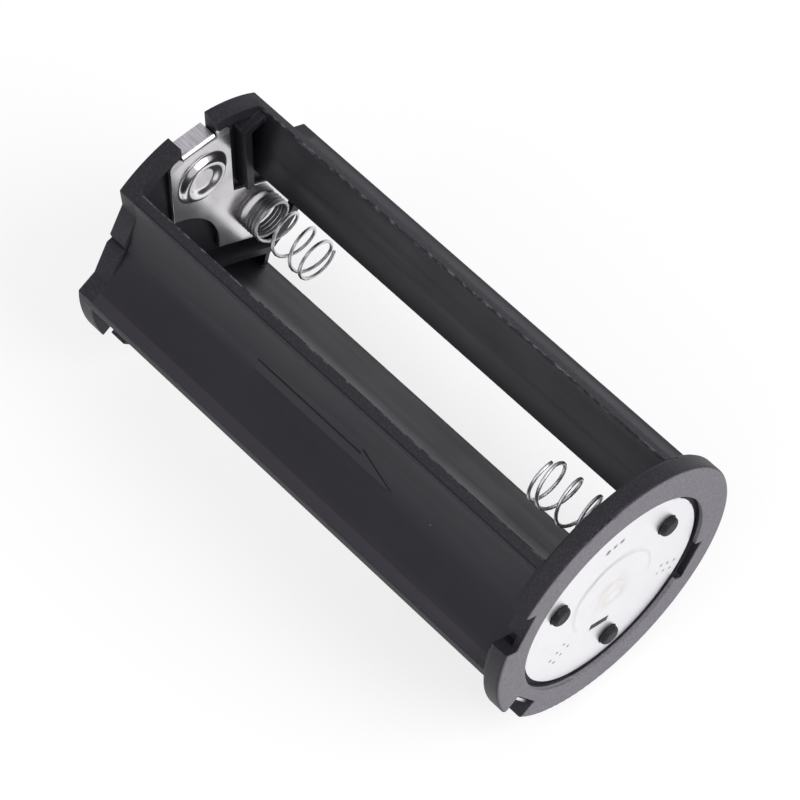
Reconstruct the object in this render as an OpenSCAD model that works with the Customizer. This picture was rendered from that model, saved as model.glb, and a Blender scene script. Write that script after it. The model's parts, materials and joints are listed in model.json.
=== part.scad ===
// Cylindrical holder for three round cells side by side.
// Its axis lies along X, with the flanged end at +X.  Bay A faces up (+Z) and the
// holder lies on the web between bays B and C.  The origin is on the surface it lies
// on, below the middle of its length.

/* [Cells] */
// Largest diameter of one cell
cell_d = 14.5; // [13.8:0.1:14.6]
// Distance from the holder's axis to each cell's axis
cell_r = 8.5; // [8.4:0.1:8.7]
// Air between a cell and the hollow that cradles it
cell_gap = 0.2; // [0.1:0.05:0.35]

/* [Frame moulding] */
// Length over the far face and the flange's ring
holder_l = 62.8; // [58:0.5:70]
// Diameter of the flange
flange_d = 32; // [31:0.25:34]
// Axial thickness of the flange
flange_t = 2.2; // [2:0.1:3]
// How far the flange stands proud of the rims, on the radius
flange_step = 0.2; // [0.1:0.05:0.8]
// Radius of the flange's outer edges
flange_round = 0.4; // [0.2:0.05:0.6]
// Half angle from the middle of a web to its corner on the bay side
web_angle = 29.3; // [28:0.1:31]
// Width of each rim, as an angle
rim_angle = 4.8; // [3:0.1:6]
// Distance from the axis to a web's inner edge
apex_r = 7.8; // [7.2:0.1:8.2]
// Distance from the axis to the middle of a trough's floor
trough_r = 12.3; // [11.6:0.1:12.8]
// Half width of a trough's floor
trough_w = 4.9; // [4.2:0.1:5.2]
// How much higher the floor's edges are than its middle
trough_rise = 1; // [0.5:0.05:1.1]

/* [Far end] */
// Thickness of the end plate
end_t = 1.2; // [1:0.1:1.4]
// Height of the seats under the contact plates, above the end plate
seat_h = 0.4; // [0.2:0.1:0.5]
// Height of the lips, from the far face
lip_h = 2.1; // [1.9:0.1:2.6]
// Radial thickness of the lips
lip_t = 1.4; // [1:0.1:1.8]
// Width of the notches that the tabs pass through
notch_w = 4.8; // [4.6:0.1:6]
// Distance from a bay's middle plane to its rib
rib_y = 5.1; // [4.6:0.1:5.6]
// Thickness of the ribs
rib_t = 0.9; // [0.7:0.1:1.2]
// Height of the ribs, from the far face
rib_h = 3.1; // [2.9:0.1:3.6]
// Distance from the axis, along the bay, to a rib's inner end
rib_start = 2.5; // [2:0.1:5]
// Distance from the axis, along the bay, to a rib's turn
rib_end = 12.1; // [10:0.1:12.4]
// Distance from the axis to the end plate's edge over a web
end_edge_r = 13; // [12.6:0.1:13.3]
// Axial length of the end plate's edge
end_edge_l = 2.3; // [1.8:0.1:3]
// Width of the nick in that edge
nick_w = 1.2; // [0.8:0.1:1.6]
// Depth of the nick
nick_h = 0.6; // [0.3:0.1:0.9]

/* [Flanged end] */
// Inner radius of the flange's ring
ring_r = 12.3; // [12:0.1:13]
// Depth of the terminal disc's face below the ring
disc_sunk = 0.5; // [0.3:0.05:0.7]
// Distance from the axis to each staked peg
peg_r = 8.55; // [8:0.05:9]
// Diameter of the pegs
peg_d = 2.3; // [1.8:0.1:2.6]
// How far the pegs stand out of the terminal disc
peg_h = 0.7; // [0.5:0.05:1]
// Half angle of the keyway in the flange's edge
keyway_angle = 8.8; // [6:0.1:12]
// Distance from the axis to the keyway's floor
keyway_r = 14.2; // [13.6:0.1:15]
// Depth of the slot for the tab, from the flange's edge
slot_depth = 2.4; // [2:0.1:2.6]
// Width of the relief in the ring's inner wall
relief_w = 5; // [4:0.1:6]
// Radial depth of the relief
relief_d = 0.9; // [0.6:0.1:1.6]

/* [Direction arrow] */
// Height of the arrow above the trough's floor
arrow_h = 0.1; // [0.05:0.05:0.4]
// Length of the arrow's shaft
arrow_shaft_l = 15.2; // [10:0.2:18]
// Width of the shaft
arrow_shaft_w = 2.5; // [1.5:0.1:3]
// Length of the head
arrow_head_l = 4.7; // [3:0.1:6]
// Width of the head
arrow_head_w = 3.8; // [3.2:0.1:6]
// Distance from the far face to the shaft's tail
arrow_start = 22; // [12:0.5:24]

/* [Metal] */
// Thickness of the sheet
sheet_t = 0.4; // [0.3:0.05:0.5]
// Width of the contact plates' arms
arm_w = 8.1; // [7:0.1:8.6]
// Distance from the axis to the outer end of an arm
arm_r = 13.1; // [12.6:0.1:13.2]
// How far an arm's rounded corners reach past its end
ear_l = 0.8; // [0.3:0.1:0.9]
// Distance that a plate keeps from the middle of a cell it doesn't serve
clear_r = 9; // [8.6:0.1:9.4]
// Width of the tabs
tab_w = 4.3; // [3.4:0.1:4.4]
// Outer radius of a contact's embossed ring
boss_r = 3.2; // [2.6:0.1:3.4]
// Height of the embossed ring
boss_h = 0.7; // [0.5:0.05:0.9]
// Diameter of the terminal disc
disc_d = 23.4; // [22.6:0.1:23.8]
// Diameter of the raised button on the far face
button_d = 7; // [6:0.2:9]

/* [Springs] */
// Diameter of the wire
wire_d = 0.4; // [0.35:0.05:0.5]
// Outside diameter of the coils
coil_d = 5.2; // [4.6:0.1:5.6]
// Pitch of the open coils
coil_pitch = 2.7; // [2.2:0.1:2.9]
// Close coils at the foot of the two springs by the flange
short_close = 1.6; // [1:0.1:2]
// Open coils of the two springs by the flange
short_open = 3.1; // [2.8:0.1:3.5]
// Close coils at the foot of the far spring
long_close = 3.9; // [3:0.1:6]
// Open coils of the far spring
long_open = 2.5; // [1.5:0.1:3]

/* [Hidden] */
$fn = 96;
CUT = 1;
FIT = 0.1;
BAY_A = 0;
WEB_AB = 60;
BAY_B = 120;
WEB_BC = 180;
BAY_C = -120;
WEB_AC = -60;

flange_r = flange_d / 2;
body_r = flange_r - flange_step;
ring_face = holder_l;
disc_face = ring_face - disc_sunk;
disc_back = disc_face - sheet_t;
flange_back = holder_l - flange_t;
near_face = flange_back - sheet_t;
seat_z = end_t + seat_h;
far_face = seat_z + sheet_t;
peg_top = disc_face + peg_h;
overall_l = max(peg_top, ring_face);

// Each bay's hollow hugs its cell and widens from there to its mouth.
cradle_r = cell_d / 2 + cell_gap;
mouth_x = body_r * cos(60 - web_angle);
mouth_y = body_r * sin(60 - web_angle);
rim_in = web_angle - rim_angle;
bend_r = sheet_t * 1.5;

// The tabs' outer faces from the axis, the notches they cross, and the keyway's pocket.
tab_root = cell_r + boss_r;
far_tab_r = arm_r + bend_r;
lip_in = body_r - lip_t;
far_notch_r = min(arm_r, lip_in) - FIT;
near_tab_r = flange_r - slot_depth + 3 * FIT + sheet_t;
near_tab_l = flange_t - 0.6;
clip_l = 3;
pocket_w = 1.5;
pocket_d = 1.2;
pocket_l = flange_t * 0.6;

// The disc is dished in its middle and has a small lanced slot.
dimple_r = 2;
dimple_h = 0.2;
swell_r = 5.4;
swell_h = 0.12;
lance_l = 2.7;
lance_w = 0.8;
lance_r = 4.6;
lance_angle = -20;

// The ends of a spring are closed.  The two by the flange stand a little to one side.
coil_r = (coil_d - wire_d) / 2;
coil_air = 0.3;
close_pitch = wire_d * 1.15;
end_coil = 1;
short_side = -0.4;
short_phase = -128;
long_phase = -125;
WIRE_SIDES = 8;
WIRE_STEPS = 20;

// Lays a piece that is drawn upright, far face down, along X with bay A up.
module lay() {
    translate([(sheet_t - overall_l) / 2, 0, flange_r]) rotate([0, 90, 0]) rotate([0, 0, 180])
        children();
}

// ---------------------------------------------------------------- frame moulding

// The air of one bay, with its middle along +X.  It flares from the cell's middle out.
module bay_air() {
    flare = (mouth_y - cradle_r) / (mouth_x - cell_r);
    back = 1;
    reach = 2 * flange_r;
    back_y = cradle_r - flare * back;
    reach_y = cradle_r + flare * (reach - cell_r);
    translate([cell_r, 0]) circle(cradle_r);
    polygon([
        [cell_r - back, -back_y], [reach, -reach_y], [reach, reach_y], [cell_r - back, back_y]
    ]);
}

// The outline of the three webs together, before their troughs.
module webs_outline() {
    difference() {
        circle(body_r);
        for (a = [BAY_A, BAY_B, BAY_C]) rotate(a) bay_air();
        circle(r = 2 * apex_r, $fn = 3);
    }
}

// The air of a trough: flared sides above a floor of two planes.  Its floor may be
// raised by a height.
module trough_air(rise = 0) {
    floor_edge = [trough_r + trough_rise, trough_w];
    side = [body_r * cos(rim_in), body_r * sin(rim_in)] - floor_edge;
    out = floor_edge + 3 * side;
    polygon([
        [trough_r + rise, 0], [floor_edge[0] + rise, -floor_edge[1]], [out[0], -out[1]],
        out, floor_edge + [rise, 0]
    ]);
}

// Past the end plate's edge the trough has a flat floor with a nick in the middle.
module trough_end_air() {
    floor_edge = [trough_r + trough_rise, trough_w];
    side = [body_r * cos(rim_in), body_r * sin(rim_in)] - floor_edge;
    low = floor_edge - side * (floor_edge[0] - end_edge_r) / side[0];
    out = floor_edge + 3 * side;
    polygon([
        [end_edge_r - nick_h, 0], [end_edge_r, -nick_w / 2], [low[0], -low[1]],
        [out[0], -out[1]], out, low, [end_edge_r, nick_w / 2]
    ]);
}

module troughs() {
    for (a = [WEB_AB, WEB_BC, WEB_AC]) rotate([0, 0, a]) {
        translate([0, 0, end_edge_l]) linear_extrude(height = flange_back - end_edge_l) trough_air();
        translate([0, 0, -CUT]) linear_extrude(height = end_edge_l + CUT) trough_end_air();
    }
}

module flange_solid() {
    q = flange_round;
    translate([0, 0, flange_back]) rotate_extrude($fn = 180) {
        square([flange_r - q, flange_t]);
        translate([0, q]) square([flange_r, flange_t - 2 * q]);
        for (z = [q, flange_t - q]) translate([flange_r - q, z]) circle(q, $fn = 32);
    }
}

// The pegs stand on the flange's floor, one over each web.
module pegs() {
    chamfer = 0.25;
    root = disc_back - flange_t / 4;
    shank = peg_top - root - chamfer;
    for (a = [WEB_AB, WEB_BC, WEB_AC]) rotate([0, 0, a]) translate([peg_r, 0, root]) {
        cylinder(d = peg_d, h = shank);
        translate([0, 0, shank]) cylinder(d1 = peg_d, d2 = peg_d - 2 * chamfer, h = chamfer);
    }
}

module arrow() {
    mid = arrow_start + arrow_shaft_l;
    difference() {
        translate([trough_r - 0.5, 0, 0]) rotate([90, 0, 90]) linear_extrude(height = 2)
            polygon([
                [-arrow_shaft_w / 2, arrow_start], [arrow_shaft_w / 2, arrow_start],
                [arrow_shaft_w / 2, mid], [arrow_head_w / 2, mid],
                [0, mid + arrow_head_l], [-arrow_head_w / 2, mid],
                [-arrow_shaft_w / 2, mid]
            ]);
        linear_extrude(height = holder_l) trough_air(arrow_h);
    }
}

// A thin rib stands on the end plate, along one side of a bay, and turns to the web's
// corner at its outer end.
module end_rib() {
    in = [rib_start, rib_y];
    turn = [rib_end, rib_y];
    tip = [rib_end + rib_t, mouth_y + rib_t / 2];
    polygon([
        in, turn, tip, tip - [rib_t, 0], turn + [-rib_t / 2, rib_t], in + [0, rib_t]
    ]);
}

module frame() {
    color("#2b2b2e") lay() difference() {
        union() {
            difference() {
                union() {
                    cylinder(r = body_r, h = end_t);
                    difference() {
                        cylinder(r = body_r, h = lip_h);
                        translate([0, 0, -CUT]) cylinder(r = lip_in, h = lip_h + 2 * CUT);
                    }
                    linear_extrude(height = flange_back + flange_t / 2) webs_outline();
                    linear_extrude(height = rib_h) intersection() {
                        for (a = [BAY_A, BAY_B, BAY_C]) rotate(a) mirror([0, 1]) end_rib();
                        circle(body_r - lip_t / 4);
                    }
                    linear_extrude(height = seat_z) far_seat();
                }
                troughs();
            }
            rotate([0, 0, WEB_AB]) arrow();
            flange_solid();
            pegs();
        }
        // recess for the terminal disc, with room for its dimple
        difference() {
            translate([0, 0, disc_back]) cylinder(r = ring_r, h = flange_t + CUT);
            pegs();
        }
        translate([0, 0, disc_back - dimple_h - FIT]) cylinder(r = dimple_r, h = flange_t);
        // the spring of cell A stands on the back of the terminal disc
        translate([cell_r, short_side, flange_back - CUT])
            cylinder(d = coil_d + 2 * coil_air, h = flange_t + CUT);
        keyway();
        rotate([0, 0, BAY_B]) tab_slot();
        rotate([0, 0, BAY_C]) ring_relief();
        for (a = [BAY_A, BAY_B]) rotate([0, 0, a]) far_notch();
    }
}

// The keyway runs on from the marked trough through the flange.
module keyway() {
    w = 2 * flange_r * sin(keyway_angle);
    rotate([0, 0, WEB_AB]) {
        translate([keyway_r, -w / 2, flange_back - CUT]) cube([flange_r, w, flange_t + 2 * CUT]);
        translate([keyway_r - pocket_d, w / 2 - pocket_w, flange_back - CUT])
            cube([flange_r, pocket_w, pocket_l + CUT]);
    }
}

module tab_slot() {
    translate([flange_r - slot_depth, -notch_w / 2, flange_back - CUT])
        cube([slot_depth + CUT, notch_w, flange_t + 2 * CUT]);
}

module ring_relief() {
    translate([ring_r - CUT, -relief_w / 2, disc_back]) cube([relief_d + CUT, relief_w, flange_t]);
}

module far_notch() {
    translate([far_notch_r, -notch_w / 2, -CUT]) cube([flange_r, notch_w, lip_h + 2 * CUT]);
}

// ---------------------------------------------------------------- contact plates

// One arm of a plate.  Its outer corners are round and reach past its end, inside the lips.
module arm() {
    q = (arm_w - tab_w) / 4 - FIT / 2;
    ear = arm_r + ear_l - q;
    intersection() {
        union() {
            translate([0, -arm_w / 2]) square([arm_r, arm_w]);
            for (s = [-1, 1]) {
                translate([ear, s * (arm_w / 2 - q)]) circle(q, $fn = 32);
                translate([0, s * (arm_w / 2 - q) - q]) square([ear, 2 * q]);
            }
        }
        circle(lip_in - FIT);
    }
}

// Two arms that meet in the middle, cut clear of the third cell.
module link_outline(bays, other) {
    difference() {
        for (a = bays) rotate(a) arm();
        rotate(other) translate([cell_r, 0]) circle(clear_r);
    }
}

module far_seat() {
    link_outline([BAY_A, BAY_C], BAY_B);
    rotate(BAY_B) terminal_pad();
}

// Sheet metal pressed into a ring with a cup inside it.
module boss() {
    t = sheet_t;
    top = boss_h + t;
    cup = boss_r * 0.42;
    rotate_extrude() difference() {
        polygon([
            [0, 0], [boss_r, 0], [boss_r, t * 0.6], [boss_r * 0.86, top * 0.8],
            [boss_r * 0.74, top], [boss_r * 0.62, top * 0.92], [cup, t + boss_h * 0.35],
            [0, t + boss_h * 0.35]
        ]);
        polygon([
            [boss_r * 0.52, -CUT], [boss_r * 0.86, -CUT], [boss_r * 0.8, boss_h * 0.5],
            [boss_r * 0.7, boss_h * 0.7]
        ]);
    }
}

// A tab bent down from a plate at z = 0 and run along -Z for a length.
// Its outer face is at r from the axis.
module tab_down(r, length, foot = 0) {
    translate([0, tab_w / 2, 0]) rotate([90, 0, 0]) linear_extrude(height = tab_w) {
        translate([tab_root, 0]) square([r - bend_r - tab_root, sheet_t]);
        translate([r - sheet_t, -length]) square([sheet_t, length + sheet_t - bend_r]);
        intersection() {
            translate([r - bend_r, sheet_t - bend_r]) difference() {
                circle(bend_r, $fn = 48);
                circle(bend_r - sheet_t, $fn = 48);
            }
            translate([r - bend_r, sheet_t - bend_r]) square(bend_r);
        }
        if (foot > 0) translate([r - foot, -length]) square([foot, sheet_t]);
    }
}

module far_link_plate() {
    color("#d9d9dc") lay() {
        translate([0, 0, seat_z]) linear_extrude(height = sheet_t) difference() {
            link_outline([BAY_A, BAY_C], BAY_B);
            translate([cell_r, 0]) circle(boss_r - FIT / 10);
        }
        translate([cell_r, 0, seat_z]) boss();
        translate([0, 0, seat_z]) tab_down(far_tab_r, seat_z + sheet_t, clip_l);
    }
}

module near_link_plate() {
    color("#d9d9dc") lay() {
        translate([0, 0, near_face]) linear_extrude(height = sheet_t) difference() {
            link_outline([BAY_B, BAY_C], BAY_A);
            rotate(BAY_C) translate([cell_r, 0]) circle(boss_r - FIT / 10);
        }
        rotate([0, 0, BAY_C]) translate([cell_r, 0, flange_back]) mirror([0, 0, 1]) boss();
        rotate([0, 0, BAY_B]) translate([0, 0, flange_back]) mirror([0, 0, 1])
            tab_down(near_tab_r, near_tab_l);
    }
}

module terminal_pad() {
    intersection() {
        arm();
        translate([cell_r, 0]) circle(boss_r + 2.2);
    }
}

// The contact of cell B runs over the rim and ends in a button on the far face.
module far_terminal() {
    strap_z = -sheet_t;
    color("#d9d9dc") lay() rotate([0, 0, BAY_B]) {
        translate([0, 0, seat_z]) linear_extrude(height = sheet_t) difference() {
            terminal_pad();
            translate([cell_r, 0]) circle(boss_r - FIT / 10);
        }
        translate([cell_r, 0, seat_z]) boss();
        translate([0, 0, seat_z]) tab_down(far_tab_r, seat_z + sheet_t);
        translate([0, -tab_w / 2, strap_z]) cube([far_tab_r, tab_w, sheet_t]);
        translate([0, 0, strap_z]) cylinder(d = button_d, h = sheet_t);
    }
}

// ---------------------------------------------------------------- terminal disc

module terminal_disc() {
    color("#ececee") lay() difference() {
        translate([0, 0, disc_back]) rotate_extrude($fn = 180) polygon([
            [0, -dimple_h], [dimple_r * 0.5, -dimple_h], [dimple_r, 0], [disc_d / 2, 0],
            [disc_d / 2, sheet_t * 0.7], [disc_d / 2 - sheet_t * 0.3, sheet_t],
            [swell_r + 0.4, sheet_t], [swell_r, sheet_t + swell_h],
            [dimple_r, sheet_t + swell_h], [dimple_r * 0.5, sheet_t - dimple_h],
            [0, sheet_t - dimple_h]
        ]);
        for (a = [WEB_AB, WEB_BC, WEB_AC]) rotate([0, 0, a])
            translate([peg_r, 0, flange_back]) cylinder(d = peg_d + 2 * FIT, h = 2 * flange_t);
        rotate([0, 0, WEB_BC + lance_angle]) translate([lance_r, 0, disc_face]) {
            cube([lance_w, lance_l, 4 * sheet_t], center = true);
        }
    }
}

// ---------------------------------------------------------------- springs

// Height of the wire's middle after a number of turns.
function coil_z(turn, close, open) =
    turn < close ? turn * close_pitch
    : turn < close + open ? close * close_pitch + (turn - close) * coil_pitch
    : close * close_pitch + open * coil_pitch + (turn - close - open) * close_pitch;

function coil_point(turn, close, open, side) =
    let (
        a = 360 * turn,
        b = 360 * side / WIRE_SIDES + 90,
        r = coil_r + wire_d / 2 * cos(b)
    )
    [r * cos(a), r * sin(a), coil_z(turn, close, open) + wire_d / 2 * (1 + sin(b))];

// Round wire wound up from z = 0: close coils, open coils and a part coil on top.
module spring(close, open) {
    turns = close + open + end_coil;
    steps = round(turns * WIRE_STEPS);
    points = [
        for (i = [0 : steps], s = [0 : WIRE_SIDES - 1])
            coil_point(turns * i / steps, close, open, s)
    ];
    sides = [
        for (i = [0 : steps - 1], s = [0 : WIRE_SIDES - 1])
            let (a = i * WIRE_SIDES, t = (s + 1) % WIRE_SIDES)
            [a + s, a + t, a + WIRE_SIDES + t, a + WIRE_SIDES + s]
    ];
    foot = [for (s = [0 : WIRE_SIDES - 1]) WIRE_SIDES - 1 - s];
    top = [for (s = [0 : WIRE_SIDES - 1]) steps * WIRE_SIDES + s];
    polyhedron(points, concat(sides, [foot, top]), convexity = 10);
}

module spring_a() {
    color("#c9cacd") lay() translate([cell_r, short_side, disc_back])
        rotate([180, 0, short_phase]) spring(short_close, short_open);
}

module spring_b() {
    color("#c9cacd") lay() rotate([0, 0, BAY_B]) translate([cell_r, short_side, near_face])
        rotate([180, 0, short_phase]) spring(short_close, short_open);
}

module spring_c() {
    color("#c9cacd") lay() rotate([0, 0, BAY_C]) translate([cell_r, 0, far_face])
        rotate([0, 0, long_phase]) spring(long_close, long_open);
}

frame();
terminal_disc();
near_link_plate();
far_link_plate();
far_terminal();
spring_a();
spring_b();
spring_c();
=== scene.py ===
"""Looks of the cylindrical cell holder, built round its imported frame.

The holder lies along X, flanged end at +X, bay A up.  All lengths are in metres; mm(...) turns
millimetres into metres.
"""
import json
import math

import bmesh
import bpy
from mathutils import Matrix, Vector

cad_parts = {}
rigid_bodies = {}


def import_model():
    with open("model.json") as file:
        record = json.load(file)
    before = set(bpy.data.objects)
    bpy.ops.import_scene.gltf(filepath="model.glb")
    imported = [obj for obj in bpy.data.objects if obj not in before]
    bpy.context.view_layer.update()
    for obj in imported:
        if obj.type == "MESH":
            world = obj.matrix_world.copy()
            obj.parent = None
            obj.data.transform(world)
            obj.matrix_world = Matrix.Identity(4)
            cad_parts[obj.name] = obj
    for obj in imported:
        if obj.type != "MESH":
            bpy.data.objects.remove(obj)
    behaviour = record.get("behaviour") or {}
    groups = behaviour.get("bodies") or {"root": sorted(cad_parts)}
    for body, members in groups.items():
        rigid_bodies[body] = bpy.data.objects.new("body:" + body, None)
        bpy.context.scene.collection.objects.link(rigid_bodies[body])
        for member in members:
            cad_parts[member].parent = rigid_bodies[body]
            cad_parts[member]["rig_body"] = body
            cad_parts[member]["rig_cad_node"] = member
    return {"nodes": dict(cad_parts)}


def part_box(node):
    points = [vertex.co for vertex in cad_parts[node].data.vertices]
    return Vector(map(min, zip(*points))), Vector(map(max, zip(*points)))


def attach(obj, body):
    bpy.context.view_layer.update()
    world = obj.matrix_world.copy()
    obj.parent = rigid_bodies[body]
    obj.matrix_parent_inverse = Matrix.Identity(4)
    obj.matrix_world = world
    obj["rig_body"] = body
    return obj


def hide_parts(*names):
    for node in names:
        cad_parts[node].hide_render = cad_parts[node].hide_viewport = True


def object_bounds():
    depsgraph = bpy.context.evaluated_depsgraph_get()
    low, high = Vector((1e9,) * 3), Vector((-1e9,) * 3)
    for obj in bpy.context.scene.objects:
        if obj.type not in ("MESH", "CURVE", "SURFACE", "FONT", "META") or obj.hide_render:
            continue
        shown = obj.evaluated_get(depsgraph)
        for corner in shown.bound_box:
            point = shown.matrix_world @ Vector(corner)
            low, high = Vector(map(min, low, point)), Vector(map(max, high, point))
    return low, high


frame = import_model()
cad_low, cad_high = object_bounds()


def mm(length):
    return length / 1000


# ------------------------------------------------------------------ sizes that pieces share

AXIS_Z = (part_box("frame")[0].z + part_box("frame")[1].z) / 2
# angle from a bay's middle to the edge between a rim and its trough
RIM_TURN = math.radians(35.5)
# a contact plate's edges within this distance of a cell's middle belong to its pressed boss
BOSS_R = mm(3.5)
# distance from the holder's axis to the middle of each cell
CELL_R = mm(8.5)
# angle round the axis from bay A to each bay
BAY_TURNS = {"a": 0, "b": -120, "c": 120}
# where the middle of each bay's cell lies, across the holder
CELLS = {bay: Vector((0, CELL_R * math.sin(math.radians(turn)),
                      AXIS_Z + CELL_R * math.cos(math.radians(turn))))
         for bay, turn in BAY_TURNS.items()}
# the pressed boss of a button contact, from its skirt in: distance from its middle and height
# over its foot, in millimetres
BOSS_STEPS = [(3.45, 0.3), (3.4, 0.41), (3.25, 0.43), (3.12, 0.5), (2.98, 0.68), (2.82, 0.9),
              (2.65, 1.04), (2.45, 1.11), (2.2, 1.11), (1.97, 1.04), (1.68, 0.87),
              (1.45, 0.73), (1.3, 0.67), (1.15, 0.66)]
BOSS_SIDES = 72
# where the feet of the pressed bosses lie along the holder, at its far and flanged ends
FAR_FOOT = mm(-29.7)
NEAR_FOOT = mm(29.3)
CENTRE = (cad_low + cad_high) / 2

# ------------------------------------------------------------------ camera

# where the camera looks, and how it stands off from there
CAMERA_AIM = CENTRE + Vector((mm(0.5), mm(0.04), mm(-0.03)))
CAMERA_BACK = Vector((mm(144.9), mm(-135.3), mm(311.2)))
# in millimetres, as Blender counts lenses
CAMERA_LENS = 163.2
CLIP_NEAR = mm(10)
CLIP_FAR = mm(20000)


def make_camera():
    bpy.ops.object.camera_add(location=CAMERA_AIM + CAMERA_BACK)
    camera = bpy.context.object
    camera.name = "camera"
    camera.rotation_euler = (-CAMERA_BACK).to_track_quat("-Z", "Y").to_euler()
    camera.data.lens = CAMERA_LENS
    camera.data.clip_start = CLIP_NEAR
    camera.data.clip_end = CLIP_FAR
    bpy.context.scene.camera = camera


make_camera()

# ------------------------------------------------------------------ node helpers


def linear(colour):
    """An sRGB hex colour as linear RGBA."""
    parts = [int(colour[i:i + 2], 16) / 255 for i in (1, 3, 5)]
    return [p / 12.92 if p <= 0.04045 else ((p + 0.055) / 1.055) ** 2.4 for p in parts] + [1.0]


def add(tree, kind, inputs=None, **settings):
    """Adds a node, sets its settings, and sets or links its inputs."""
    made = tree.nodes.new(kind)
    for name, value in settings.items():
        setattr(made, name, value)
    for name, value in (inputs or {}).items():
        socket = made.inputs[name]
        if isinstance(value, bpy.types.NodeSocket):
            tree.links.new(value, socket)
        elif isinstance(value, str):
            socket.default_value = linear(value)
        else:
            socket.default_value = value
    return made


def maths(tree, operation, *values):
    """One Math node; values are numbers or sockets."""
    return add(tree, "ShaderNodeMath", dict(enumerate(values)), operation=operation).outputs[0]


def step(tree, value, start, end, low=0.0, high=1.0):
    """Goes from low to high as value goes from start to end."""
    return add(tree, "ShaderNodeMapRange", {"Value": value, "From Min": start, "From Max": end,
                                            "To Min": low, "To Max": high}).outputs["Result"]


def noise(tree, place, size, detail=2.0, stretch=(1, 1, 1)):
    """Noise whose grains are about size across, longer where stretch is under 1."""
    moved = add(tree, "ShaderNodeMapping", {"Vector": place, "Scale": stretch})
    return add(tree, "ShaderNodeTexNoise", {"Vector": moved.outputs[0], "Scale": 1 / size,
                                            "Detail": detail}).outputs["Fac"]


def bump(tree, height, distance, strength, below=None):
    """A normal with relief on it; below is the normal that it lies on."""
    inputs = {"Height": height, "Distance": distance, "Strength": strength}
    if below is not None:
        inputs["Normal"] = below
    return add(tree, "ShaderNodeBump", inputs).outputs["Normal"]


def new_material(name):
    """A material with its tree, its shader and the place in the piece's own frame."""
    made = bpy.data.materials.new(name)
    made.use_nodes = True
    tree = made.node_tree
    shader = tree.nodes["Principled BSDF"]
    place = add(tree, "ShaderNodeTexCoord").outputs["Object"]
    return made, tree, shader, place


def mask_or(tree, *masks):
    """Where any of the masks is; a mask goes from 0 to 1."""
    top = masks[0]
    for mask in masks[1:]:
        top = maths(tree, "MAXIMUM", top, mask)
    return top


def mask_and(tree, *masks):
    """Where all of the masks are."""
    product = masks[0]
    for mask in masks[1:]:
        product = maths(tree, "MULTIPLY", product, mask)
    return product


def blend(tree, factor, low, high):
    """Goes from the colour low to the colour high."""
    return add(tree, "ShaderNodeMix", {"Factor": factor, "A": low, "B": high},
               data_type="RGBA").outputs["Result"]


def mixed(tree, factor, low, high):
    """Goes from the number low to the number high."""
    return add(tree, "ShaderNodeMix", {"Factor": factor, "A": low, "B": high}).outputs[0]


def round_axis(tree, place):
    """The place along the holder's axis, the distance from that axis, and the angle round it
    from the middle of the nearest bay."""
    split = add(tree, "ShaderNodeSeparateXYZ", {0: place})
    up = maths(tree, "SUBTRACT", split.outputs["Z"], AXIS_Z)
    across = add(tree, "ShaderNodeCombineXYZ", {"Y": split.outputs["Y"], "Z": up})
    radius = add(tree, "ShaderNodeVectorMath", {0: across.outputs[0]}, operation="LENGTH")
    angle = maths(tree, "ARCTAN2", split.outputs["Y"], up)
    turn = maths(tree, "ABSOLUTE", maths(tree, "WRAP", angle, math.pi / 3, -math.pi / 3))
    return split.outputs["X"], radius.outputs["Value"], turn


def flecks(tree, place, spacing, size, share):
    """Round flecks of about size, on a random grid with that spacing; share is how many cells
    have one."""
    cells = add(tree, "ShaderNodeTexVoronoi", {"Vector": place, "Scale": 1 / spacing})
    chosen = add(tree, "ShaderNodeSeparateColor", {0: cells.outputs["Color"]})
    near = step(tree, cells.outputs["Distance"], size / spacing, size / spacing * 0.5)
    return mask_and(tree, near, maths(tree, "LESS_THAN", chosen.outputs[0], share))


# ------------------------------------------------------------------ materials

# Where the moulding's finish, or its painted light and shade, changes.  A span says where a
# finish or a painted mark starts and where it is full, out from the holder's axis or along it.
RIM_OUT = (mm(15.3), mm(15.6))
FLASH_OUT = (mm(15.2), mm(15.4))
LIT_BAND_OUT = (mm(13.9), mm(14.1))
LIPS_OUT = (mm(12.3), mm(12.6))
LIPS_ALONG = (mm(-28.9), mm(-29.1))
FLANGE_ALONG = (mm(29.2), mm(29.35))
FACE_ALONG = (mm(31.35), mm(31.47))
# the wall round the terminal disc, and the edge of the disc's seat inside it
WALL_ALONG = (mm(31.02), mm(31.08))
WALL_OUT = (mm(12.5), mm(12.4))
SEAT_OUT = (mm(12.1), mm(12.2))
PEGS_ALONG = (mm(30.5), mm(30.6))
PEGS_OUT = (mm(11.5), mm(11.4))
# the webs, between the two ends
WEBS_TO_FLANGE = (mm(29.2), mm(29.1))
WEBS_TO_FAR_END = (mm(-29.2), mm(-29.0))

# Strips along each web's rim, in radians from RIM_TURN, each with its two sides' spans: the band
# of painted light on the trough's side, the seam whose dark line is painted shade, and the
# flash.
LIT_BAND_TURN = ((0.0, 0.004), (0.05, 0.044))
SEAM_TURN = ((-0.016, -0.012), (-0.004, -0.008))
FLASH_TURN = ((-0.092, -0.086), (-0.068, -0.078))

# The terminal disc's groups of weld pits: angle from bay A, distance from the axis, columns,
# rows, pitch, and size of a pit.
DASH_PITS = (0, mm(8.6), 3, 1, mm(0.95), mm(0.42))
SPOT_PITS = ((-120, mm(8.1), 2, 3, mm(1.1), mm(0.24)),
             (120, mm(9.2), 2, 3, mm(1.1), mm(0.24)))
# the disc's faint darker ring, inner and outer side, and its stain
DARKER_RING_OUT = ((mm(5.0), mm(5.3)), (mm(5.6), mm(5.3)))
STAIN_OUT = (mm(3.4), mm(0.6))
# the contact plates' bent tabs
TABS_OUT = (mm(13.0), mm(13.3))
# the springs' close coils by the weld, from the holder's middle; they are duller and carry
# painted shade
CLOSE_COILS_ALONG = (mm(26.9), mm(27.9))


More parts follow.
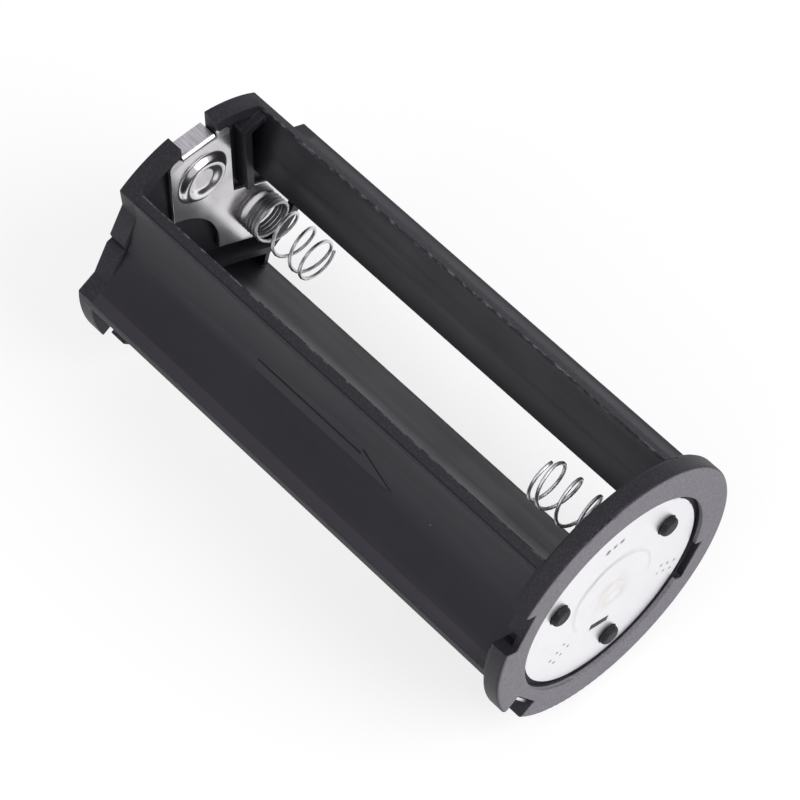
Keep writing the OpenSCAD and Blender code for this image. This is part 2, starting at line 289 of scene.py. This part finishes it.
def strip(tree, turn, sides):
    """The masks of the two sides of a strip along a web's rim, given as in LIT_BAND_TURN."""
    return [step(tree, turn, RIM_TURN + start, RIM_TURN + end) for start, end in sides]


def moulded_abs():
    """Black ABS, injection moulded: near black and satin on the drawn walls, and greyer, dull
    and finely grained where the mould was spark-eroded, on the rims, the lips and the flange.
    The flange's front face and the wall round the disc are painted pale grey as a sheen, each
    trough's side has a band of painted light by its rim, and the seam a painted shade line."""
    made, tree, shader, place = new_material("black_abs_moulded")
    along, radius, turn = round_axis(tree, place)
    rims = step(tree, radius, *RIM_OUT)
    lips = mask_and(tree, step(tree, along, *LIPS_ALONG), step(tree, radius, *LIPS_OUT))
    flange = step(tree, along, *FLANGE_ALONG)
    # the flange's front face and the wall round the terminal disc, where a pale painted sheen
    # goes
    front = mask_or(tree, step(tree, along, *FACE_ALONG),
                    mask_and(tree, step(tree, along, *WALL_ALONG),
                             step(tree, radius, *WALL_OUT)))
    front = mask_and(tree, front, step(tree, radius, *SEAT_OUT))
    webs = mask_and(tree, step(tree, along, *WEBS_TO_FLANGE),
                    step(tree, along, *WEBS_TO_FAR_END))
    pegs = mask_and(tree, step(tree, along, *PEGS_ALONG), step(tree, radius, *PEGS_OUT))
    grained = mask_or(tree, rims, lips, flange)
    # the band of painted light on each trough's side next to the rim, and the fine seam between
    # the two, whose dark line is painted shade
    painted_light_band = mask_and(tree, *strip(tree, turn, LIT_BAND_TURN), step(tree, radius, *LIT_BAND_OUT), webs)
    shaded_seam = mask_and(tree, *strip(tree, turn, SEAM_TURN), rims, webs)

    grain = noise(tree, place, mm(0.2), 3.0)
    flow = noise(tree, place, mm(1.4), 3.0, (0.1, 1, 1))
    cloud = noise(tree, place, mm(8), 2.0)
    dust = flecks(tree, place, mm(3.2), mm(0.12), 0.4)
    # flecks of flash along each rim's edge over the bay
    uneven = noise(tree, place, mm(0.5), 3.0, (0.5, 1, 1))
    flash = mask_and(tree, *strip(tree, turn, FLASH_TURN), step(tree, uneven, 0.5, 0.64),
                     step(tree, radius, *FLASH_OUT), webs)
    smooth = maths(tree, "ADD", step(tree, flow, 0.3, 0.7, 0.36, 0.46),
                   step(tree, cloud, 0.3, 0.7, -0.04, 0.04))
    rough = mixed(tree, grained, smooth, 0.52)
    tree.links.new(rough, shader.inputs["Roughness"])

    tone = blend(tree, cloud, "#1d1c20", "#26252a")
    tone = blend(tree, mask_and(tree, grained, step(tree, grain, 0.5, 0.66)), tone, "#323136")
    # painted light: the trough's side next to the rim is painted lighter
    tone = blend(tree, maths(tree, "MULTIPLY", painted_light_band, 0.5), tone, "#3c3a40")
    # painted sheen: the flange's front face and the wall round the disc are painted pale grey,
    # standing in for their grazing reflection of the lit floor
    painted_sheen_grain = blend(tree, step(tree, grain, 0.35, 0.65), "#727075", "#86838a")
    tone = blend(tree, front, tone, painted_sheen_grain)
    # the pegs are darker, and the seam gets a painted shade line, the shade of its small step
    tone = blend(tree, mask_or(tree, pegs, shaded_seam), tone, "#111113")
    tone = blend(tree, maths(tree, "MULTIPLY", flash, 0.5), tone, "#85848a")
    tone = blend(tree, maths(tree, "MULTIPLY", dust, 0.8), tone, "#9a999f")
    tree.links.new(tone, shader.inputs["Base Color"])
    # the pegs' tops are rough where the hot tool has spread them
    staked = maths(tree, "MULTIPLY", noise(tree, place, mm(0.4), 3.0), pegs)
    relief = maths(tree, "SUBTRACT", maths(tree, "MULTIPLY", grain, grained),
                   maths(tree, "MULTIPLY", shaded_seam, 1.5))
    relief = maths(tree, "MULTIPLY_ADD", staked, 6.0, relief)
    fine = bump(tree, relief, mm(0.06), 0.7)
    tree.links.new(bump(tree, flow, mm(0.008), 0.2, fine), shader.inputs["Normal"])
    shader.inputs["IOR"].default_value = 1.53
    shader.inputs["Specular IOR Level"].default_value = 0.34
    shader.inputs["Specular Tint"].default_value = linear("#f6f2fb")
    return made


def weld_pits(tree, place, angle, out, columns, rows, pitch, size):
    """A small grid of uneven pits that a spot welder leaves, centred at a distance out from the
    axis and at an angle in degrees from bay A."""
    uneven = add(tree, "ShaderNodeTexNoise", {"Vector": place, "Scale": 1 / mm(0.6)})
    centred = add(tree, "ShaderNodeVectorMath", {0: uneven.outputs["Color"],
                                                 1: (0.5, 0.5, 0.5)}, operation="SUBTRACT")
    place = add(tree, "ShaderNodeVectorMath", {0: centred.outputs[0], 1: (size, size, size),
                                               2: place}, operation="MULTIPLY_ADD").outputs[0]
    split = add(tree, "ShaderNodeSeparateXYZ", {0: place})
    up = maths(tree, "SUBTRACT", split.outputs["Z"], AXIS_Z)
    turn = math.radians(angle)
    outward = maths(tree, "ADD", maths(tree, "MULTIPLY", up, math.cos(turn)),
                    maths(tree, "MULTIPLY", split.outputs["Y"], math.sin(turn)))
    sideways = maths(tree, "SUBTRACT", maths(tree, "MULTIPLY", split.outputs["Y"],
                                             math.cos(turn)),
                     maths(tree, "MULTIPLY", up, math.sin(turn)))
    outward = maths(tree, "SUBTRACT", outward, out)
    # within the grid each way, and the square of the distance from the nearest pit, in pitches
    inside = []
    squares = []
    for value, count in ((sideways, columns), (outward, rows)):
        inside.append(maths(tree, "LESS_THAN", maths(tree, "ABSOLUTE", value),
                            pitch * count / 2))
        offset = 0.5 if count % 2 == 0 else 0.0
        shifted = maths(tree, "ADD", maths(tree, "DIVIDE", value, pitch), offset)
        local = maths(tree, "SUBTRACT", shifted, maths(tree, "ROUND", shifted))
        squares.append(maths(tree, "MULTIPLY", local, local))
    reach = maths(tree, "SQRT", maths(tree, "ADD", *squares))
    return mask_and(tree, *inside, step(tree, reach, size / pitch, size / pitch * 0.4))


def nickel_disc():
    """Nickel-plated steel, blanked and pressed: bright and almost white, with spot-weld pits, a
    faint, patchy darker ring and a warm stain in the middle."""
    made, tree, shader, place = new_material("bright_nickel_disc")
    shader.inputs["Metallic"].default_value = 1.0
    _, radius, _ = round_axis(tree, place)
    haze = noise(tree, place, mm(2.5), 4.0)
    dash = weld_pits(tree, place, *DASH_PITS)
    spots = mask_or(tree, *(weld_pits(tree, place, *pits) for pits in SPOT_PITS))
    pits = mask_or(tree, dash, mask_and(tree, spots, step(tree, haze, 0.35, 0.55)))
    darker_ring = mask_and(tree, *(step(tree, radius, *side) for side in DARKER_RING_OUT),
                         step(tree, noise(tree, place, mm(3.5), 2.0), 0.42, 0.6))
    stain = mask_and(tree, step(tree, radius, *STAIN_OUT),
                     step(tree, noise(tree, place, mm(1.6), 3.0), 0.35, 0.62))
    tree.links.new(maths(tree, "ADD", step(tree, haze, 0.3, 0.75, 0.30, 0.38),
                         maths(tree, "MULTIPLY", pits, 0.3)), shader.inputs["Roughness"])
    tone = blend(tree, haze, "#f3f2f4", "#eeedf0")
    tone = blend(tree, maths(tree, "MULTIPLY", stain, 0.8), tone, "#dcd7cf")
    # a faint, patchy darker ring round the middle
    tone = blend(tree, maths(tree, "MULTIPLY", darker_ring, 0.4), tone, "#cbc9cb")
    tone = blend(tree, maths(tree, "MULTIPLY", pits, 0.8), tone, "#77757a")
    tree.links.new(tone, shader.inputs["Base Color"])
    tree.links.new(bump(tree, maths(tree, "MULTIPLY", pits, -1.0), mm(0.03), 0.6),
                   shader.inputs["Normal"])
    return made


def nickel_sheet():
    """Nickel-plated spring sheet, rolled, pressed and bent: bright and soft-edged in its
    reflections, with fine drawn lines over the bent tabs."""
    made, tree, shader, place = new_material("bright_nickel_sheet")
    shader.inputs["Metallic"].default_value = 1.0
    _, radius, _ = round_axis(tree, place)
    drawn = noise(tree, place, mm(0.12), 2.0, (0.06, 1, 1))
    haze = noise(tree, place, mm(3), 2.0)
    tabs = step(tree, radius, *TABS_OUT)
    tree.links.new(maths(tree, "ADD", step(tree, haze, 0.3, 0.7, 0.17, 0.24),
                         maths(tree, "MULTIPLY", tabs, 0.1)), shader.inputs["Roughness"])
    tone = blend(tree, haze, "#f6f4f5", "#ebe9eb")
    tone = blend(tree, mask_and(tree, tabs, step(tree, drawn, 0.45, 0.62)), tone, "#d2d1d6")
    tree.links.new(tone, shader.inputs["Base Color"])
    tree.links.new(bump(tree, maths(tree, "MULTIPLY", drawn, tabs), mm(0.006), 0.4),
                   shader.inputs["Normal"])
    return made


def spring_steel():
    """Plated music wire, coiled and welded at its foot: bright, with faint streaks from the
    drawing die, and duller on the close coils, with painted shade there that stands in for the
    holder's dark inside that they reflect."""
    made, tree, shader, place = new_material("plated_spring_wire")
    shader.inputs["Metallic"].default_value = 1.0
    along, _, _ = round_axis(tree, place)
    shaded_close_coils = step(tree, maths(tree, "ABSOLUTE", along), *CLOSE_COILS_ALONG)
    streak = noise(tree, place, mm(0.5), 2.0)
    tree.links.new(maths(tree, "ADD", step(tree, streak, 0.3, 0.7, 0.36, 0.46),
                         maths(tree, "MULTIPLY", shaded_close_coils, 0.1)), shader.inputs["Roughness"])
    tone = blend(tree, streak, "#e8e7ea", "#d6d5da")
    # painted shade: the close coils are painted dark, as they reflect the holder's dark inside
    tone = blend(tree, maths(tree, "MULTIPLY", shaded_close_coils, 0.75), tone, "#5c5b5e")
    tree.links.new(tone, shader.inputs["Base Color"])
    return made


ABS = moulded_abs()
DISC = nickel_disc()
SHEET = nickel_sheet()
WIRE = spring_steel()

# ------------------------------------------------------------------ pieces

# vertices nearer than this are one
MERGE = mm(0.001)
# widths of the rounded edges; the moulding's lips and rims get LIP_SHARE of its width
MOULDING_EDGE = mm(0.15)
SHEET_EDGE = mm(0.06)
LIP_SHARE = 0.8
# the pegs' tops lie beyond PEG_FROM along the holder and within PEG_REACH of its axis
PEG_FROM = mm(31)
PEG_REACH = mm(11)
# the lips', rims' and flange's edges lie beyond this distance from the axis
LIP_REACH = mm(13.2)
# shorter edges are the facets of curves, and stay as they are
SHORT_MOULDING_EDGE = mm(0.5)
SHORT_SHEET_EDGE = mm(0.3)


def deselect():
    """Leaves Edit mode, if a piece is in it, and selects nothing."""
    if bpy.context.object and bpy.context.object.mode != "OBJECT":
        bpy.ops.object.mode_set(mode="OBJECT")
    bpy.ops.object.select_all(action="DESELECT")


def loose_copy(node, name):
    """A merged copy of a CAD node, selected and active."""
    cad = frame["nodes"][node]
    piece = cad.copy()
    piece.data = cad.data.copy()
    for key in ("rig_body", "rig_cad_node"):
        if key in piece:
            del piece[key]
    piece.parent = None
    piece.name = name
    bpy.context.scene.collection.objects.link(piece)
    deselect()
    piece.select_set(True)
    bpy.context.view_layer.objects.active = piece
    bpy.ops.object.mode_set(mode="EDIT")
    bpy.ops.mesh.select_all(action="SELECT")
    bpy.ops.mesh.remove_doubles(threshold=MERGE)
    bpy.ops.object.mode_set(mode="OBJECT")
    return piece


def flatten_faces(angle):
    """Joins the active piece's faces that lie within angle degrees of one plane."""
    bpy.ops.object.mode_set(mode="EDIT")
    bpy.ops.mesh.select_all(action="SELECT")
    bpy.ops.mesh.dissolve_limited(angle_limit=math.radians(angle))
    bpy.ops.object.mode_set(mode="OBJECT")


def round_edges(piece, width, share, sharp):
    """Rounds the edges that turn by more than sharp degrees; share(middle, length) says how
    much of the width each gets."""
    shape = bmesh.new()
    shape.from_mesh(piece.data)
    weights = shape.edges.layers.float.new("bevel_weight_edge")
    for edge in shape.edges:
        if len(edge.link_faces) == 2 and edge.calc_face_angle(0) > math.radians(sharp):
            middle = (edge.verts[0].co + edge.verts[1].co) / 2
            edge[weights] = share(middle, edge.calc_length())
    shape.to_mesh(piece.data)
    shape.free()
    bevel = piece.modifiers.new("edges", "BEVEL")
    bevel.width = width
    bevel.segments = 2
    bevel.limit_method = "WEIGHT"
    bevel.use_clamp_overlap = False
    bpy.ops.object.modifier_apply(modifier=bevel.name)


def even_shading(piece, angle):
    """Smooth shading that keeps flat faces flat."""
    bpy.ops.object.shade_smooth_by_angle(angle=math.radians(angle))
    weighted = piece.modifiers.new("shading", "WEIGHTED_NORMAL")
    weighted.keep_sharp = True
    weighted.weight = 90
    bpy.ops.object.modifier_apply(modifier=weighted.name)


def stand_in(piece, node, material):
    """Puts the finished piece in the place of its CAD node."""
    piece.data.materials.clear()
    piece.data.materials.append(material)
    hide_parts(node)
    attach(piece, "root")


def off_axis(place):
    """Distance from the holder's axis."""
    return math.hypot(place.y, place.z - AXIS_Z)


def holder_edge(middle, length):
    """The pegs' tops get the whole width, and the rims', lips' and flange's edges a share of
    it; all others stay crisp."""
    if middle.x > PEG_FROM and off_axis(middle) < PEG_REACH:
        return 1.0
    outer = length > SHORT_MOULDING_EDGE and off_axis(middle) > LIP_REACH
    return LIP_SHARE if outer else 0.0


def sheet_edge(middle, length):
    """The outline of a sheet piece, but not its pressed rings."""
    near_ring = min(math.hypot(middle.y - cell.y, middle.z - cell.z) for cell in CELLS.values())
    return 1.0 if length > SHORT_SHEET_EDGE and near_ring > BOSS_R else 0.0


def pressed_boss(name, bay, shaded_close_coils, side):
    """The smooth boss pressed into a contact plate, which the cell's button meets; side is the
    way it faces along the holder."""
    middle = Vector((shaded_close_coils, CELLS[bay].y, CELLS[bay].z))
    (radius, height), *steps = BOSS_STEPS
    deselect()
    bpy.ops.mesh.primitive_circle_add(
        vertices=BOSS_SIDES, radius=mm(radius), fill_type="NGON",
        location=middle + Vector((side * mm(height), 0, 0)), rotation=(0, side * math.pi / 2, 0))
    boss = bpy.context.object
    boss.name = name
    bpy.ops.object.transform_apply(location=True, rotation=True, scale=True)
    bpy.ops.object.mode_set(mode="EDIT")
    bpy.ops.mesh.select_all(action="SELECT")
    for new_radius, new_height in steps:
        rise = side * mm(new_height - height)
        bpy.ops.mesh.extrude_region_move(TRANSFORM_OT_translate={"value": (rise, 0, 0)})
        bpy.ops.transform.resize(value=(1, new_radius / radius, new_radius / radius),
                                 center_override=middle)
        radius, height = new_radius, new_height
    bpy.ops.mesh.select_all(action="SELECT")
    bpy.ops.mesh.normals_make_consistent(inside=False)
    bpy.ops.object.mode_set(mode="OBJECT")
    even_shading(boss, 50)
    boss.data.materials.append(SHEET)
    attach(boss, "root")


moulding = loose_copy("frame", "holder_moulding")
flatten_faces(0.5)
round_edges(moulding, MOULDING_EDGE, holder_edge, 30)
even_shading(moulding, 30)
stand_in(moulding, "frame", ABS)

disc = loose_copy("terminal_disc", "end_disc")
flatten_faces(0.3)
even_shading(disc, 40)
stand_in(disc, "terminal_disc", DISC)

for node in ("near_link_plate", "far_link_plate", "far_terminal"):
    sheet = loose_copy(node, node + "_sheet")
    flatten_faces(0.3)
    round_edges(sheet, SHEET_EDGE, sheet_edge, 60)
    even_shading(sheet, 50)
    stand_in(sheet, node, SHEET)

pressed_boss("far_link_boss", "a", FAR_FOOT, 1)
pressed_boss("far_terminal_boss", "b", FAR_FOOT, 1)
pressed_boss("near_link_boss", "c", NEAR_FOOT, -1)

for node in ("spring_a", "spring_b", "spring_c"):
    wire = loose_copy(node, node + "_wire")
    bpy.ops.object.shade_smooth_by_angle(angle=math.radians(60))
    stand_in(wire, node, WIRE)

# ------------------------------------------------------------------ stage

FLOOR_SIZE = mm(6000)
# the floor lies this far under the holder, clear of its rims
FLOOR_GAP = mm(0.05)
# brings the lit floor up to white where it is seen, and only there
FLOOR_GLOW = 0.73
WORLD_LEVEL = 0.55
# each lamp's name, direction from the holder, distance and size in metres, and power in watts
LAMPS = (("key", (1.0, 0.35, 0.9), 0.9, 0.7, 5.0),
         ("fill", (0.1, -1.0, 0.9), 1.0, 0.9, 2.0))


def make_floor():
    """A pale floor that keeps the holder's shadow and is white round it."""
    bpy.ops.mesh.primitive_plane_add(size=FLOOR_SIZE,
                                     location=(0, 0, cad_low.z - FLOOR_GAP))
    floor = bpy.context.object
    floor.name = "floor"
    made = bpy.data.materials.new("white_paper")
    made.use_nodes = True
    tree = made.node_tree
    shader = tree.nodes["Principled BSDF"]
    shader.inputs["Base Color"].default_value = linear("#959595")
    shader.inputs["Roughness"].default_value = 1.0
    shader.inputs["Specular IOR Level"].default_value = 0.0
    path = add(tree, "ShaderNodeLightPath")
    seen = maths(tree, "MAXIMUM", maths(tree, "MAXIMUM", path.outputs["Is Camera Ray"],
                                        path.outputs["Is Glossy Ray"]),
                 path.outputs["Is Transmission Ray"])
    shader.inputs["Emission Color"].default_value = linear("#ffffff")
    tree.links.new(maths(tree, "MULTIPLY", seen, FLOOR_GLOW),
                   shader.inputs["Emission Strength"])
    floor.data.materials.append(made)


def make_world():
    world = bpy.data.worlds.new("studio")
    bpy.context.scene.world = world
    world.use_nodes = True
    sky = world.node_tree.nodes["Background"]
    sky.inputs["Color"].default_value = linear("#faf8fe")
    sky.inputs["Strength"].default_value = WORLD_LEVEL


def make_lamp(name, direction, distance, size, power):
    """A round soft lamp, turned to the holder's middle."""
    place = CENTRE + Vector(direction).normalized() * distance
    bpy.ops.object.light_add(type="AREA", location=place)
    lamp = bpy.context.object
    lamp.name = name
    lamp.data.shape = "DISK"
    lamp.data.size = size
    lamp.data.energy = power
    lamp.rotation_euler = (CENTRE - place).to_track_quat("-Z", "Y").to_euler()


make_floor()
make_world()
for lamp in LAMPS:
    make_lamp(*lamp)
bpy.context.scene.view_settings.view_transform = "Standard"
